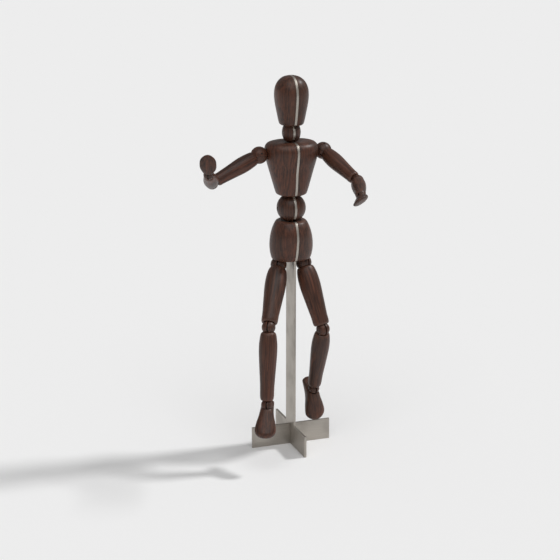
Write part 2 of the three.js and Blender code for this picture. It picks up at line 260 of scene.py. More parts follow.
pelvis_back = flank(PELVIS_PROFILE, PELVIS_LOW, PELVIS_HIGH)
waist_cup_half = math.sqrt(WAIST_DISH ** 2 - (WAIST_Z - PELVIS_HIGH) ** 2)
waist_cup = cup_edge(WAIST_DISH, WAIST_Z, waist_cup_half)
post_back = [(BASE_HALF, 0), (BASE_HALF, BASE_HEIGHT), (POST_HALF, BASE_HEIGHT), (POST_HALF, PELVIS_LOW)]
spine_back = post_back + pelvis_back
spine_outline = (
    [(lap_half, 0)] + spine_back + waist_cup + [(-y, z) for y, z in reversed(spine_back)]
    + [(-lap_half, 0), (-lap_half, LAP_HEIGHT), (lap_half, LAP_HEIGHT)]
)
spine_mesh = cut_sheet(spine_outline)
keep_grain(spine_mesh, (0.0, 0.0, 0.0))
finish_piece(spine_mesh, "spine_sheet", STEEL, "stand_and_pelvis", ["spine_plate"])

# ---- Pelvis halves -----------------------------------------------------------------------------
# Two halves of dark oiled walnut, turned as one, sawn down the middle and glued to the sheet. A
# round seat on top takes the waist ball and two seats below take the hip balls.
SEAT_GAP = 0.35
HIP_R = 7.0
HIP_X, HIP_Z = 11.5, 166.6
SAWN_EDGE = 0.10
RIM_REACH = 1.6
NO_EDGE = 1000.0  # a height past every piece, for an end that isn't worn
WOOD_EDGE = SHEET / 2 + 0.03


def dark_walnut():
    """Straight-grained dark walnut, oiled to a satin: red and near-black streaks, fine open pores."""
    material = bpy.data.materials.new("dark_walnut")
    material.use_nodes = True
    tree = material.node_tree
    shader = tree.nodes["Principled BSDF"]
    shader.inputs["IOR"].default_value = 1.38
    shader.inputs["Specular IOR Level"].default_value = 0.5
    shader.inputs["Coat Weight"].default_value = 0.16
    shader.inputs["Coat Roughness"].default_value = 0.34
    along = node(tree, "ShaderNodeAttribute", attribute_name="grain").outputs["Vector"]
    sway = cloud(tree, stretched(tree, along, (1.0, 1.0, 0.35)), 38.0, 2.0, 0.5)
    aside = node(tree, "ShaderNodeCombineXYZ")
    wire(tree, spread(tree, sway, 0.3, 0.7, -0.0012, 0.0012), aside.inputs["X"])
    bent = node(tree, "ShaderNodeVectorMath", operation="ADD")
    wire(tree, along, bent.inputs[0])
    wire(tree, aside.outputs["Vector"], bent.inputs[1])
    streaks = cloud(tree, stretched(tree, bent.outputs[0], (1.0, 0.6, 0.012)), 820.0, 4.0, 0.55)
    broad = cloud(tree, stretched(tree, bent.outputs[0], (1.0, 0.6, 0.05)), 90.0, 3.0, 0.5)
    lines = cloud(tree, stretched(tree, bent.outputs[0], (1.0, 0.5, 0.012)), 1250.0, 2.0, 0.5)
    pores = cloud(tree, stretched(tree, along, (1.0, 1.0, 0.045)), 3600.0, 1.0, 0.5)
    brown = ramp(tree, streaks, (
        (0.30, (0.022, 0.009, 0.006)), (0.45, (0.048, 0.019, 0.011)),
        (0.57, (0.074, 0.029, 0.016)), (0.72, (0.112, 0.042, 0.024)),
    ))
    red = ramp(tree, streaks, ((0.35, (0.056, 0.019, 0.010)), (0.70, (0.150, 0.049, 0.026))))
    mixed = blend_colour(tree, spread(tree, broad, 0.42, 0.66, 0.0, 0.75), brown, red)
    lined = blend_colour(tree, spread(tree, lines, 0.52, 0.66, 0.0, 0.55), mixed, (0.020, 0.010, 0.008))
    pored = blend_colour(tree, spread(tree, pores, 0.60, 0.72, 0.0, 0.6), lined, (0.012, 0.006, 0.005))
    rim = node(tree, "ShaderNodeAttribute", attribute_name="rim").outputs["Fac"]
    worn = blend_colour(tree, spread(tree, rim, 0.0, 1.0, 0.0, 0.22), pored, (0.18, 0.090, 0.062))
    wire(tree, worn, shader.inputs["Base Color"])
    rough = node(tree, "ShaderNodeMath", operation="ADD")
    wire(tree, spread(tree, streaks, 0.35, 0.7, 0.40, 0.50), rough.inputs[0])
    wire(tree, spread(tree, pores, 0.6, 0.72, 0.0, 0.15), rough.inputs[1])
    wire(tree, rough.outputs[0], shader.inputs["Roughness"])
    height = node(tree, "ShaderNodeMath", operation="MULTIPLY_ADD")
    wire(tree, spread(tree, pores, 0.58, 0.72, 0.0, -1.0), height.inputs[0])
    height.inputs[1].default_value = 0.8
    wire(tree, streaks, height.inputs[2])
    bump = node(tree, "ShaderNodeBump", Strength=0.35, Distance=0.00012)
    wire(tree, height.outputs[0], bump.inputs["Height"])
    wire(tree, bump.outputs["Normal"], shader.inputs["Normal"])
    return material


WALNUT = dark_walnut()


def keep_rim(mesh, values):
    """Stores how close each point is to a worn edge, 1 on the edge."""
    layer = mesh.attributes.new("rim", "FLOAT", "POINT")
    layer.data.foreach_set("value", np.asarray(values, dtype=np.float32))


def half_form(profile, side, squareness=2.05, around=40):
    """One half of a turned block: smooth rows up its height, flat on the sawn face."""
    rows = smooth_rows(profile, 7)
    form = bmesh.new()
    rings = []
    for z, w, d in rows:
        ring = []
        for i in range(around + 1):
            angle = math.pi * (i / around - 0.5)
            c = max(0.0, math.cos(angle))
            s = math.sin(angle)
            x = WOOD_EDGE + (w - WOOD_EDGE) * c ** (2 / squareness)
            y = d * math.copysign(abs(s) ** (2 / squareness), s)
            ring.append(form.verts.new((side * x * MM, y * MM, z * MM)))
        rings.append(ring)
    for low, high in zip(rings, rings[1:]):
        for i in range(around):
            form.faces.new((low[i], low[i + 1], high[i + 1], high[i]))
        form.faces.new((low[around], low[0], high[0], high[around]))
    form.faces.new(rings[0])
    form.faces.new(rings[-1])
    bmesh.ops.recalc_face_normals(form, faces=form.faces)
    sawn = [e for e in form.edges if all(abs(abs(v.co.x) - WOOD_EDGE * MM) < 1e-7 for v in e.verts)
            and abs(e.verts[0].co.z - e.verts[1].co.z) > 1e-6]
    bmesh.ops.bevel(form, geom=sawn, offset=SAWN_EDGE * MM, segments=1, affect="EDGES")
    return form


def ball_form(radius, centre, around=48, rows=28):
    """A ball with its poles on Z."""
    form = bmesh.new()
    bmesh.ops.create_uvsphere(form, u_segments=around, v_segments=rows, radius=radius * MM)
    bmesh.ops.translate(form, verts=form.verts, vec=Vector(centre) * MM)
    return form


def to_object(form, name):
    mesh = bpy.data.meshes.new(name)
    form.to_mesh(mesh)
    form.free()
    made = bpy.data.objects.new(name, mesh)
    bpy.context.scene.collection.objects.link(made)
    return made


def carve(form, cutters, name, operation="DIFFERENCE"):
    """The form less each cutter, or joined to it, as a plain mesh."""
    block = to_object(form, name)
    tools = [to_object(cutter, name + "_tool") for cutter in cutters]
    for tool in tools:
        step = block.modifiers.new("cut", "BOOLEAN")
        step.operation = operation
        step.solver = "EXACT"
        step.object = tool
    bpy.context.view_layer.update()
    mesh = bpy.data.meshes.new_from_object(block.evaluated_get(bpy.context.evaluated_depsgraph_get()))
    for made in (*tools, block):
        old = made.data
        bpy.data.objects.remove(made)
        bpy.data.meshes.remove(old)
    mesh.name = name
    return mesh


def rim_by_height(mesh, low, high, reach):
    """Wear at the two ends of a piece, fading over reach millimetres."""
    z = np.array([v.co.z / MM for v in mesh.vertices])
    keep_rim(mesh, np.clip(1 - np.minimum(np.abs(z - low), np.abs(z - high)) / reach, 0, 1))


for side, word, offset in ((1, "left", (0.11, 0.05, 0.02)), (-1, "right", (0.17, 0.23, 0.09))):
    cutters = [
        ball_form(WAIST_DISH, (0, 0, WAIST_Z)),
        ball_form(HIP_R + SEAT_GAP, (side * HIP_X, 0, HIP_Z)),
    ]
    pelvis_mesh = carve(half_form(PELVIS_PROFILE, side), cutters, f"pelvis_{word}")
    keep_grain(pelvis_mesh, offset)
    rim_by_height(pelvis_mesh, PELVIS_LOW, PELVIS_HIGH, RIM_REACH)
    finish_piece(
        pelvis_mesh, f"pelvis_{word}", WALNUT, "stand_and_pelvis", [f"pelvis_{word}_half"])

# ---- Waist ball --------------------------------------------------------------------------------
# A walnut ball that turns in the pelvis's round seat, slotted from above for the steel disc of the
# chest sheet and cross-drilled for its pin. Its dowel is hidden and left out.
DISC_LOW = 45  # degrees below level where the disc's full size ends
SLOT_LOW = 68  # the same for the slot
WAIST_BRIDGE = 3.8
SLOT_PLAY = 0.06
SLOT_OVER = 3.0
SHEET_PIN_R = 1.2
DRILL_PLAY = 0.1
DRILL_OVER = 1.0


def disc_outline(outer, inner, low, centre_z):
    """A disc in the Y-Z plane that is full size over the top and smaller underneath."""
    points = []
    for radius, start, end, steps in ((outer, -low, 180 + low, 54), (inner, 180 + low, 360 - low, 16)):
        for i in range(steps + 1):
            angle = math.radians(start + (end - start) * i / steps)
            points.append((radius * math.cos(angle), centre_z + radius * math.sin(angle)))
    return points


def slab_form(outline, thickness):
    form = bmesh.new()
    ring = [form.verts.new((-thickness / 2 * MM, y * MM, z * MM)) for y, z in outline]
    pushed = bmesh.ops.extrude_face_region(form, geom=[form.faces.new(ring)])
    moved = [v for v in pushed["geom"] if isinstance(v, bmesh.types.BMVert)]
    bmesh.ops.translate(form, verts=moved, vec=(thickness * MM, 0, 0))
    bmesh.ops.recalc_face_normals(form, faces=form.faces)
    return form


def turned_form(rows, around=56):
    """A turned solid about Z from (height, radius) rows, closed at both ends."""
    form = bmesh.new()
    rings = []
    for z, r in rows:
        rings.append([form.verts.new((r * math.cos(2 * math.pi * i / around) * MM,
                                      r * math.sin(2 * math.pi * i / around) * MM, z * MM))
                      for i in range(around)])
    for low, high in zip(rings, rings[1:]):
        for i in range(around):
            j = (i + 1) % around
            form.faces.new((low[i], low[j], high[j], high[i]))
    form.faces.new(rings[0])
    form.faces.new(rings[-1])
    bmesh.ops.recalc_face_normals(form, faces=form.faces)
    return form


def cross_hole(radius, half_length, centre_z):
    form = turned_form([(-half_length, radius), (half_length, radius)], 24)
    form.transform(Matrix.Translation((0, 0, centre_z * MM)) @ Matrix.Rotation(math.pi / 2, 4, "Y"))
    return form


def pinned(sheet, half_length, centre_z):
    """A sheet with its hinge pin standing out on both sides."""
    form = bmesh.new()
    form.from_mesh(sheet)
    bpy.data.meshes.remove(sheet)
    return carve(form, [cross_hole(SHEET_PIN_R, half_length, centre_z)], "pinned_sheet", "UNION")


def slot_and_drill(radius, bridge, centre_z):
    """Cutters for a sheet's slot in a trunk ball and for the hole of the pin."""
    outline = disc_outline(radius + SLOT_OVER, radius - bridge, SLOT_LOW, centre_z)
    slot = slab_form(outline, SHEET + 2 * SLOT_PLAY)
    return [slot, cross_hole(SHEET_PIN_R + DRILL_PLAY, radius + DRILL_OVER, centre_z)]


waist_form = ball_form(WAIST_R, (0, 0, WAIST_Z), 64, 40)
waist_mesh = carve(waist_form, slot_and_drill(WAIST_R, WAIST_BRIDGE, WAIST_Z), "waist_ball_turned")
keep_grain(waist_mesh, (0.05, 0.31, 0.21))
finish_piece(waist_mesh, "waist_ball_turned", WALNUT, "waist", ["waist_ball"])

# ---- Chest sheet and chest halves --------------------------------------------------------------
# The sheet follows the middle of the chest and ends below in the disc that fills the waist ball. A
# walnut half is glued to each side, with a dished seat on top for the neck and one per shoulder.
CHEST_LOW, CHEST_HIGH = 228.4, 274.5
CHEST_PROFILE = [
    (228.4, 11.2, 10.6), (229.5, 13.0, 12.2), (233.0, 14.3, 13.4), (238.0, 15.8, 14.2), (250.0, 19.4, 15.4),
    (260.0, 22.1, 18.0), (267.0, 23.1, 19.0), (271.0, 22.6, 17.8), (273.4, 20.6, 15.6), (274.5, 17.4, 12.6),
]
NECK_DISH = [(272.9, 3.8), (275.1, 9.4)]
NECK_Z = 282.3
NECK_R = 8.0
NECK_SEAT = 9.3
NECK_CUP_HALF = 7.87
WAIST_DISC_STEP = 4.2
WAIST_PIN_SHORT = 0.6
SHOULDER_R = 7.4
SHOULDER_X, SHOULDER_Z = 28.9, 264.3
CHEST_SQUARENESS = 2.15


def sheet_with_disc(profile, low, high, cup, disc_r, disc_in, disc_z):
    """Outline of a trunk sheet with a hinge disc below it, and a cup for the next ball above."""
    back = flank(profile, low, high)
    meet = math.asin((low - disc_z) / disc_r)
    disc = []
    for i in range(41):
        angle = meet - (meet + math.radians(DISC_LOW)) * i / 40
        disc.append((disc_r * math.cos(angle), disc_z + disc_r * math.sin(angle)))
    under = []
    for i in range(13):
        angle = math.radians(-DISC_LOW) - (math.pi - 2 * math.radians(DISC_LOW)) * i / 12
        under.append((disc_in * math.cos(angle), disc_z + disc_in * math.sin(angle)))
    front_disc = [(-y, z) for y, z in reversed(disc)]
    front = [(-y, z) for y, z in back]
    return list(reversed(back)) + disc + under + front_disc + front + cup


dish_z, dish_r = NECK_DISH[0]
neck_cup = [(-NECK_CUP_HALF, CHEST_HIGH), (-dish_r, dish_z), (dish_r, dish_z), (NECK_CUP_HALF, CHEST_HIGH)]
chest_outline = sheet_with_disc(
    CHEST_PROFILE, CHEST_LOW, CHEST_HIGH, neck_cup, WAIST_R + STRIP_PROUD, WAIST_R - WAIST_DISC_STEP, WAIST_Z)
chest_sheet_mesh = pinned(cut_sheet(chest_outline), WAIST_R - WAIST_PIN_SHORT, WAIST_Z)
keep_grain(chest_sheet_mesh, (0.0, 0.4, 0.1))
finish_piece(chest_sheet_mesh, "chest_sheet", STEEL, "torso", ["torso_plate"])

for side, word, offset in ((1, "left", (0.42, 0.11, 0.33)), (-1, "right", (0.36, 0.02, 0.27))):
    cutters = [
        ball_form(WAIST_R + SEAT_GAP, (0, 0, WAIST_Z)),
        turned_form(NECK_DISH),
        ball_form(SHOULDER_R + SEAT_GAP, (side * SHOULDER_X, 0, SHOULDER_Z)),
    ]
    chest_mesh = carve(half_form(CHEST_PROFILE, side, CHEST_SQUARENESS), cutters, f"chest_{word}")
    keep_grain(chest_mesh, offset)
    rim_by_height(chest_mesh, CHEST_LOW, NO_EDGE, RIM_REACH)
    finish_piece(chest_mesh, f"chest_{word}", WALNUT, "torso", [f"torso_{word}_half"])

# ---- Neck bead ---------------------------------------------------------------------------------
# A barrel-shaped walnut bead that turns in the chest's dish, slotted from above for the head's disc
# and cross-drilled for its pin. Its dowel is hidden and left out.
NECK_BRIDGE = 3.2
BEAD_PROFILE = [
    # height from the bead's middle, radius
    (-8.6, 3.4), (-7.2, 5.6), (-4.0, 7.4), (0.0, 8.0), (4.0, 7.4), (7.2, 5.6), (8.6, 3.4),
]
bead_form = turned_form([(NECK_Z + r[0], r[1]) for r in smooth_rows(BEAD_PROFILE, 6)])
bead_mesh = carve(bead_form, slot_and_drill(NECK_R, NECK_BRIDGE, NECK_Z), "neck_bead_turned")
keep_grain(bead_mesh, (0.22, 0.41, 0.02))
finish_piece(bead_mesh, "neck_bead_turned", WALNUT, "neck", ["neck_bead"])

# ---- Head sheet and head halves ----------------------------------------------------------------
# The sheet follows the egg of the head over its crown and ends below in the disc of the neck bead.
# A turned walnut half is glued to each side.
HEAD_LOW, HEAD_HIGH = 289.0, 330.5
NECK_DISC_STEP = 3.6
NECK_PIN_SHORT = 0.5
HEAD_PROFILE = [
    (289.0, 9.2, 9.6), (289.9, 10.2, 10.7), (299.0, 12.3, 13.2), (308.0, 14.0, 14.8), (315.0, 14.5, 15.5),
    (321.0, 13.7, 14.4), (326.0, 11.1, 11.6), (329.2, 7.2, 7.6), (330.5, 3.0, 3.2),
]
head_outline = sheet_with_disc(
    HEAD_PROFILE, HEAD_LOW, HEAD_HIGH, [], NECK_R + STRIP_PROUD, NECK_R - NECK_DISC_STEP, NECK_Z)
head_sheet_mesh = pinned(cut_sheet(head_outline), NECK_R - NECK_PIN_SHORT, NECK_Z)
keep_grain(head_sheet_mesh, (0.2, 0.1, 0.3))
finish_piece(head_sheet_mesh, "head_sheet", STEEL, "head", ["head_plate"])

for side, word, offset in ((1, "left", (0.07, 0.45, 0.13)), (-1, "right", (0.03, 0.38, 0.19))):
    head_mesh = carve(half_form(HEAD_PROFILE, side), [ball_form(NECK_SEAT, (0, 0, NECK_Z))], f"head_{word}")
    keep_grain(head_mesh, offset)
    rim_by_height(head_mesh, HEAD_LOW, NO_EDGE, RIM_REACH)
    finish_piece(head_mesh, f"head_{word}", WALNUT, "head", [f"head_{word}_half"])

# ---- Joint balls of the arms and legs ----------------------------------------------------------
# Twelve turned walnut balls. Each has a dowel that turns in the piece before it, a slot sawn from
# the other side for the steel tongue, and a cross hole for the pin.
JOINT_BALLS = {
    # radius, dowel radius, dowel length
    "shoulder": (SHOULDER_R, 2.2, 9.0), "elbow": (5.4, 1.7, 7.0), "wrist": (4.2, 1.4, 6.0),
    "hip": (HIP_R, 2.2, 8.0), "knee": (5.9, 1.9, 8.0), "ankle": (5.0, 1.7, 7.0),
}
DOWEL_ROOT = 0.8  # share of the ball's radius at which the dowel starts
DOWEL_EXTRA = 0.1  # share of the radius added to the dowel's length
SLOT_DEEPER = 0.4
EYE_SHARE = 0.62
TONGUE = 0.8
TONGUE_PLAY = 0.2
PIN_R = 0.8
LIMB_CHAIN = {
    "shoulder": ("upper_arm", "elbow"), "elbow": ("forearm", "wrist"), "wrist": ("hand", None),
    "hip": ("thigh", "knee"), "knee": ("shin", "ankle"), "ankle": ("foot", None),
}
BALL_SHARP = 50.0
hinges = {joint["name"]: joint for joint in frame["joints"]}


def joint_place(side, name):
    return Vector(hinges[f"{side}_{name}_bend"]["pos_m"])


def pin_line(side, name):
    """The pin's direction, the same way round whatever the bend's sense, judged from the turn axis."""
    pin = Vector(hinges[f"{side}_{name}_bend"]["axis"])
    out = Vector(hinges[f"{side}_{name}_turn"]["axis"])
    limb = limb_line(side, name)
    return -pin if pin.dot(out.cross(limb)) > 0 else pin


def limb_line(side, name):
    """Direction of the limb after a joint."""
    after = LIMB_CHAIN[name][1]
    if after:
        return (joint_place(side, after) - joint_place(side, name)).normalized()
    tip = {
        ("left", "wrist"): (-8.4, -20.3, -0.5), ("right", "wrist"): (-5.1, -14.3, 15.9),
        ("left", "ankle"): (3.1, -8.5, -27.2), ("right", "ankle"): (-9.7, -20.3, -18.2),
    }[(side, name)]
    return Vector(tip).normalized()


def seated(origin, across, along):
    """The placing of a piece drawn with its pin on X and its length on Z."""
    z = along.normalized()
    x = (across - z * across.dot(z)).normalized()
    return Matrix.Translation(origin) @ Matrix((x, z.cross(x), z)).transposed().to_4x4()


def geometry_tree(name, sizes):
    """An empty Geometry Nodes tree with named sizes in metres and a mesh out."""
    tree = bpy.data.node_groups.new(name, "GeometryNodeTree")
    tree.interface.new_socket("Geometry", in_out="OUTPUT", socket_type="NodeSocketGeometry")
    for size in sizes:
        tree.interface.new_socket(size, in_out="INPUT", socket_type="NodeSocketFloat")
    entry = tree.nodes.new("NodeGroupInput")
    return tree, {size: entry.outputs[size] for size in sizes}


def gn_math(tree, operation, first, second=None):
    made = tree.nodes.new("ShaderNodeMath")
    made.operation = operation
    for socket, value in zip(made.inputs, (first, second)):
        if isinstance(value, bpy.types.NodeSocket):
            tree.links.new(value, socket)
        elif value is not None:
            socket.default_value = value
    return made.outputs[0]


def gn_vector(tree, x=0.0, y=0.0, z=0.0):
    made = tree.nodes.new("ShaderNodeCombineXYZ")
    for socket, value in zip(made.inputs, (x, y, z)):
        if isinstance(value, bpy.types.NodeSocket):
            tree.links.new(value, socket)
        else:
            socket.default_value = value
    return made.outputs[0]


def gn_rod(tree, radius, length, place, turn=(0.0, 0.0, 0.0), around=32):
    made = tree.nodes.new("GeometryNodeMeshCylinder")
    made.inputs["Vertices"].default_value = around
    tree.links.new(radius, made.inputs["Radius"])
    tree.links.new(length, made.inputs["Depth"])
    return gn_move(tree, made.outputs["Mesh"], place, turn)


def gn_block(tree, size, place):
    made = tree.nodes.new("GeometryNodeMeshCube")
    tree.links.new(size, made.inputs["Size"])
    return gn_move(tree, made.outputs["Mesh"], place)


def gn_move(tree, geometry, place, turn=(0.0, 0.0, 0.0)):
    made = tree.nodes.new("GeometryNodeTransform")
    tree.links.new(geometry, made.inputs["Geometry"])
    if place is not None:
        tree.links.new(place, made.inputs["Translation"])
    made.inputs["Rotation"].default_value = turn
    return made.outputs["Geometry"]


def gn_boolean(tree, operation, first, *others):
    made = tree.nodes.new("GeometryNodeMeshBoolean")
    made.operation = operation
    made.solver = "EXACT"
    if operation == "DIFFERENCE":
        tree.links.new(first, made.inputs["Mesh 1"])
    else:
        others = (first, *others)
    for other in reversed(others):
        tree.links.new(other, made.inputs["Mesh 2"])
    return made.outputs["Mesh"]


def gn_close(tree, geometry, material):
    real = tree.nodes.new("GeometryNodeRealizeInstances")
    paint = tree.nodes.new("GeometryNodeSetMaterial")
    paint.inputs["Material"].default_value = material
    leave = tree.nodes.new("NodeGroupOutput")
    tree.links.new(geometry, real.inputs["Geometry"])
    tree.links.new(real.outputs["Geometry"], paint.inputs["Geometry"])
    tree.links.new(paint.outputs["Geometry"], leave.inputs["Geometry"])


def grow(tree, sizes, name):
    """Runs a tree with the given sizes and returns the result as a plain mesh."""
    seed = bpy.data.objects.new(name, bpy.data.meshes.new(name))
    bpy.context.scene.collection.objects.link(seed)
    step = seed.modifiers.new("made", "NODES")
    step.node_group = tree
    for item in tree.interface.items_tree:
        if item.in_out == "INPUT":
            step[item.identifier] = sizes[item.name]
    seed.update_tag()
    bpy.context.view_layer.update()
    mesh = bpy.data.meshes.new_from_object(seed.evaluated_get(bpy.context.evaluated_depsgraph_get()))
    old = seed.data
    seed.modifiers.remove(step)
    bpy.data.objects.remove(seed)
    bpy.data.meshes.remove(old)
    mesh.name = name
    return mesh


BALL_SIZES = ["Ball Radius", "Slot Width", "Slot Depth", "Pin Hole Radius", "Dowel Radius", "Dowel Length"]
ball_tree, size = geometry_tree("slotted_ball", BALL_SIZES)
sphere = ball_tree.nodes.new("GeometryNodeMeshUVSphere")
sphere.inputs["Segments"].default_value = 48
sphere.inputs["Rings"].default_value = 30
ball_tree.links.new(size["Ball Radius"], sphere.inputs["Radius"])
wide = gn_math(ball_tree, "MULTIPLY", size["Ball Radius"], 3.0)
diameter = gn_math(ball_tree, "MULTIPLY", size["Ball Radius"], 2.0)
slot_high = gn_math(ball_tree, "ADD", size["Slot Depth"], diameter)
slot_mid = gn_math(ball_tree, "SUBTRACT", size["Slot Depth"], gn_math(ball_tree, "MULTIPLY", slot_high, 0.5))
slot_size = gn_vector(ball_tree, size["Slot Width"], wide, slot_high)
slot = gn_block(ball_tree, slot_size, gn_vector(ball_tree, 0.0, 0.0, slot_mid))
hole = gn_rod(ball_tree, size["Pin Hole Radius"], wide, None, (0.0, math.pi / 2, 0.0))
dowel_start = gn_math(ball_tree, "MULTIPLY", size["Ball Radius"], DOWEL_ROOT)
half_dowel = gn_math(ball_tree, "MULTIPLY", size["Dowel Length"], 0.5)
dowel_mid = gn_vector(ball_tree, 0.0, 0.0, gn_math(ball_tree, "ADD", dowel_start, half_dowel))
dowel = gn_rod(ball_tree, size["Dowel Radius"], size["Dowel Length"], dowel_mid)
whole = gn_boolean(ball_tree, "UNION", sphere.outputs["Mesh"], dowel)
gn_close(ball_tree, gn_boolean(ball_tree, "DIFFERENCE", whole, slot, hole), WALNUT)

for number, (side, name) in enumerate((s, n) for s in ("left", "right") for n in JOINT_BALLS):
    radius, dowel_r, dowel_long = JOINT_BALLS[name]
    mesh = grow(ball_tree, {
        "Ball Radius": radius * MM, "Slot Width": (TONGUE + 2 * TONGUE_PLAY) * MM,
        "Slot Depth": (radius * EYE_SHARE + SLOT_DEEPER) * MM, "Pin Hole Radius": (PIN_R + DRILL_PLAY) * MM,
        "Dowel Radius": dowel_r * MM, "Dowel Length": (dowel_long + radius * DOWEL_EXTRA) * MM,
    }, f"{side}_{name}_turned_ball")
    keep_grain(mesh, (0.07 * number, 0.5 + 0.03 * number, 0.11 * number))
    # Known fault: the left hip's turn axis has the opposite sense, so that one ball is upside down.
    inward = -Vector(hinges[f"{side}_{name}_turn"]["axis"])
    mesh.transform(seated(joint_place(side, name), pin_line(side, name), inward))
    finish_piece(
        mesh, f"{side}_{name}_turned_ball", WALNUT, f"{side}_{name}", [f"{side}_{name}_ball"],
        BALL_SHARP)

# ---- Tongues -----------------------------------------------------------------------------------
# A thin tongue of spring steel, painted near-black as shade for the dark slots, is let into the end
# of each limb. Its round eye sits in the ball's slot and turns on a pin riveted across the ball.
TONGUE_DEPTH = {"shoulder": 13.0, "elbow": 10.0, "wrist": 9.0, "hip": 14.0, "knee": 13.0, "ankle": 9.0}
ANKLE_LEAN = 40.0
BLADE_SHARE = 0.72
PIN_SHORT = 0.45


def dark_steel():
    """Thin oiled spring steel, painted brown-black as shade for the ball slots, with a bluish mottle and
    light scuffs.
    """
    material = bpy.data.materials.new("spring_steel_painted_slot_shade")
    material.use_nodes = True
    tree = material.node_tree
    shader = tree.nodes["Principled BSDF"]
    shader.inputs["Metallic"].default_value = 1.0
    along = node(tree, "ShaderNodeAttribute", attribute_name="grain").outputs["Vector"]
    mottle = cloud(tree, along, 260.0, 3.0, 0.5)
    scuffs = cloud(tree, stretched(tree, along, (1.0, 1.0, 0.05)), 2600.0, 2.0, 0.6)
    # Painted shade: the near-black base colour stands for the shade inside the ball slots.
    base = ramp(tree, mottle, ((0.35, (0.045, 0.040, 0.038)), (0.65, (0.070, 0.060, 0.052))))
    rubbed = blend_colour(tree, spread(tree, scuffs, 0.6, 0.75, 0.0, 0.4), base, (0.16, 0.15, 0.14))
    wire(tree, rubbed, shader.inputs["Base Color"])
    wire(tree, spread(tree, mottle, 0.3, 0.7, 0.38, 0.52), shader.inputs["Roughness"])
    bump = node(tree, "ShaderNodeBump", Strength=0.2, Distance=0.00003)
    wire(tree, scuffs, bump.inputs["Height"])
    wire(tree, bump.outputs["Normal"], shader.inputs["Normal"])
    return material


DARK_STEEL = dark_steel()
TONGUE_SIZES = ["Eye Radius", "Tongue Thickness", "Blade Width", "Blade Length", "Pin Radius", "Pin Length"]
tongue_tree, size = geometry_tree("tongue_and_pin", TONGUE_SIZES)
across = (0.0, math.pi / 2, 0.0)
eye = gn_rod(tongue_tree, size["Eye Radius"], size["Tongue Thickness"], None, across, 48)
half_blade = gn_math(tongue_tree, "MULTIPLY", size["Blade Length"], 0.5)
blade_size = gn_vector(tongue_tree, size["Tongue Thickness"], size["Blade Width"], size["Blade Length"])
blade = gn_block(tongue_tree, blade_size, gn_vector(tongue_tree, 0.0, 0.0, half_blade))
pin = gn_rod(tongue_tree, size["Pin Radius"], size["Pin Length"], None, across, 24)
gn_close(tongue_tree, gn_boolean(tongue_tree, "UNION", eye, blade, pin), DARK_STEEL)

for side, name in ((s, n) for s in ("left", "right") for n in JOINT_BALLS):
    radius = JOINT_BALLS[name][0]
    mesh = grow(tongue_tree, {
        "Eye Radius": radius * EYE_SHARE * MM, "Tongue Thickness": TONGUE * MM,
        "Blade Width": radius * BLADE_SHARE * MM, "Blade Length": TONGUE_DEPTH[name] * MM,
        "Pin Radius": PIN_R * MM, "Pin Length": 2 * (radius - PIN_SHORT) * MM,
    }, f"{side}_{name}_hinge_tongue")
    keep_grain(mesh, (0.01, 0.02, 0.03))
    if name == "ankle":
        mesh.transform(Matrix.Rotation(math.radians(ANKLE_LEAN), 4, "X"))
    mesh.transform(seated(joint_place(side, name), pin_line(side, name), limb_line(side, name)))
    limb_name = f"{side}_{LIMB_CHAIN[name][0]}"
    finish_piece(
        mesh, f"{side}_{name}_hinge_tongue", DARK_STEEL, limb_name, [f"{side}_{name}_tongue"])

# ---- Arms and legs -----------------------------------------------------------------------------
# Turned walnut limbs, thickest above the middle, each end rounded over and hollowed to take its
# ball. The grain runs from joint to joint.
LIMB_RIM_REACH = 1.7
LIMB_PROFILES = {
    # distance from the joint before, radius
    "upper_arm": [
        (4.4, 4.5), (5.6, 5.7), (10, 6.5), (18, 6.9), (30, 6.1), (40, 5.4), (44.2, 5.2), (45.2, 4.3),
    ],
    "forearm": [(3.6, 4.6), (4.8, 5.6), (10, 6.2), (17, 5.9), (27, 4.8), (33.6, 4.2), (34.8, 3.5)],
    "thigh": [(3.6, 5.4), (4.8, 7.1), (10, 8.6), (20, 9.2), (34, 8.3), (48, 7.2), (55.4, 6.8), (56.6, 5.8)],
    "shin": [(4.0, 5.0), (5.2, 6.3), (12, 7.6), (20, 7.9), (34, 7.2), (50, 6.2), (62.0, 5.6), (63.2, 4.7)],
}
number = 0
for side in ("left", "right"):
    for name, (limb, after) in LIMB_CHAIN.items():
        if not after:
            continue
        number += 1
        start, end = joint_place(side, name), joint_place(side, after)
        length = (end - start).length / MM
        rows = LIMB_PROFILES[limb]
        spare = length - (rows[-1][0] + rows[0][0])
        middle = math.ceil(len(rows) / 2)
        fitted = [(z + (spare if i >= middle else 0.0), r) for i, (z, r) in enumerate(rows)]
        curve = [(r[0], r[1]) for r in smooth_rows(fitted, 7)]
        cutters = [
            ball_form(JOINT_BALLS[name][0] + SEAT_GAP, (0, 0, 0)),
            ball_form(JOINT_BALLS[after][0] + SEAT_GAP, (0, 0, length)),
        ]
        mesh = carve(turned_form(curve), cutters, f"{side}_{limb}_turned")
        keep_grain(mesh, (0.13 * number, 0.09 * number + 0.7, 0.21 * number))
        rim_by_height(mesh, fitted[0][0] + 0.8, fitted[-1][0] - 0.4, LIMB_RIM_REACH)
        mesh.transform(seated(start, pin_line(side, name), end - start))
        finish_piece(
            mesh, f"{side}_{limb}_turned", WALNUT, f"{side}_{limb}", [f"{side}_{limb}"])

